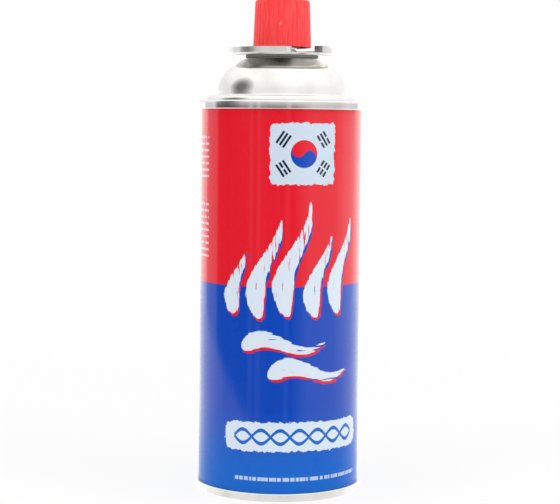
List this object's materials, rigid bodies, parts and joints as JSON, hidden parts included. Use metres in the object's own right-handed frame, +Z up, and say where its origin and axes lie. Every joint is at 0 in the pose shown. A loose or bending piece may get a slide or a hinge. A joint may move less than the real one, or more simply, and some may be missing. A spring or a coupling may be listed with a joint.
{
  "type": "fuel canister",
  "caption": "Sealed gas cartridge for a portable stove: tinplate can with seamed ends, a notched collar, a press valve and a ribbed push-on cap.",
  "frame": {"origin": "centre of the lower seam, on the surface that the can stands on", "axes": "+Z up along the can's axis; -Y is the printed front; +X is to the right of it"},
  "size_m": [0.0684, 0.0684, 0.1999],
  "materials": {
    "printed_tinplate": "glossy lacquer over print, red above and blue below",
    "bare_tinplate": "bright tinplate",
    "cap_plastic": "moulded red, satin",
    "valve_plastic": "moulded off-white",
    "seal_rubber": "matt black",
    "spring_steel": "drawn wire"
  },
  "bodies": {
    "canister": {"can": "printed_tinplate", "cup_gasket": "seal_rubber", "collar": "bare_tinplate", "valve_cup": "bare_tinplate", "stem_gasket": "seal_rubber", "valve_housing": "valve_plastic", "valve_spring": "spring_steel"},
    "stem": {"valve_stem": "valve_plastic"},
    "cap": {"cap": "cap_plastic"}
  },
  "joints": [
    {"name": "cap_pull", "type": "slide", "parent": "canister", "child": "cap", "axis": [0, 0, 1], "range_m": [0, 0.03]},
    {"name": "stem_press", "type": "slide", "parent": "canister", "child": "stem", "axis": [0, 0, -1], "range_m": [0, 0.002], "stiffness_N_per_m": 1500, "springref_m": -0.004, "deforming": ["valve_spring"]}
  ]
}
